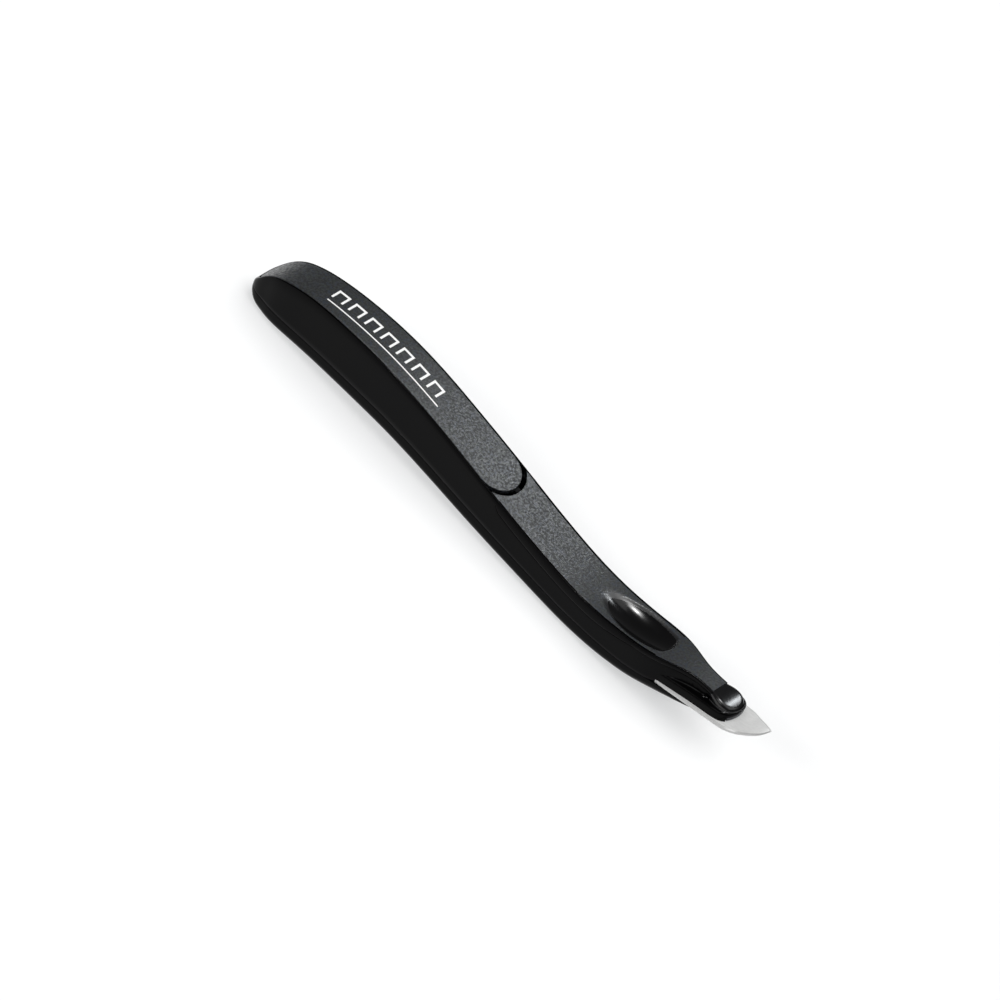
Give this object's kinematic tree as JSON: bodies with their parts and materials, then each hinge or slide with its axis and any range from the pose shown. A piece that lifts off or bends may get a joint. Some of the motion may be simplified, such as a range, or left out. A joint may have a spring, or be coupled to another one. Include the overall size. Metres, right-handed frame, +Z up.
{
  "type": "staple remover",
  "caption": "Slim wave-shaped push staple remover with a flat steel lifting blade, a press lever in its back and an ejector strip.",
  "frame": {"origin": "bottom centre of the bounding box, on the surface that the tool lies on", "axes": "+X along the handle towards the blade tip, +Y to the tool's left, +Z up"},
  "size_m": [0.1692, 0.0136, 0.0203],
  "materials": {
    "gloss_shell": "polished black moulding",
    "textured_grip": "fine grained charcoal with a faint metallic fleck",
    "blade_steel": "fine ground",
    "screw_steel": "plain zinc",
    "magnet_nickel": "nickel plated",
    "spring_wire": "drawn wire",
    "bumper_rubber": "matt",
    "guide_plastic": "natural acetal",
    "inner_plastic": "plain moulded",
    "strip_steel": "cold rolled"
  },
  "bodies": {
    "handle": {"body_shell": "gloss_shell", "bottom_cover": "gloss_shell", "grip_cover": "textured_grip", "nose_cap": "gloss_shell", "blade": "blade_steel", "blade_screws": "screw_steel", "shell_screws": "screw_steel", "magnet": "magnet_nickel", "hinge_pin": "screw_steel", "lever_spring": "spring_wire", "stop_pads": "bumper_rubber", "slide_guide": "guide_plastic"},
    "lever": {"lever_strip": "textured_grip", "lever_arm": "inner_plastic", "drive_pin": "screw_steel"},
    "ejector": {"ejector_slide": "strip_steel"}
  },
  "joints": [
    {"name": "lever_press", "type": "hinge", "parent": "handle", "child": "lever", "pos_m": [-0.07628, 0, 0.01128], "axis": [0, 1, 0], "range_deg": [0, 2.2], "stiffness_Nm_per_rad": 1.8, "springref_deg": -1.15, "deforming": ["lever_spring"]},
    {"name": "ejector_push", "type": "slide", "parent": "handle", "child": "ejector", "axis": [0.9722, 0, 0.234], "range_m": [0, 0.0027]}
  ],
  "couplings": [
    {"joint": "ejector_push", "follows": "lever_press", "m_per_rad": 0.0703}
  ]
}
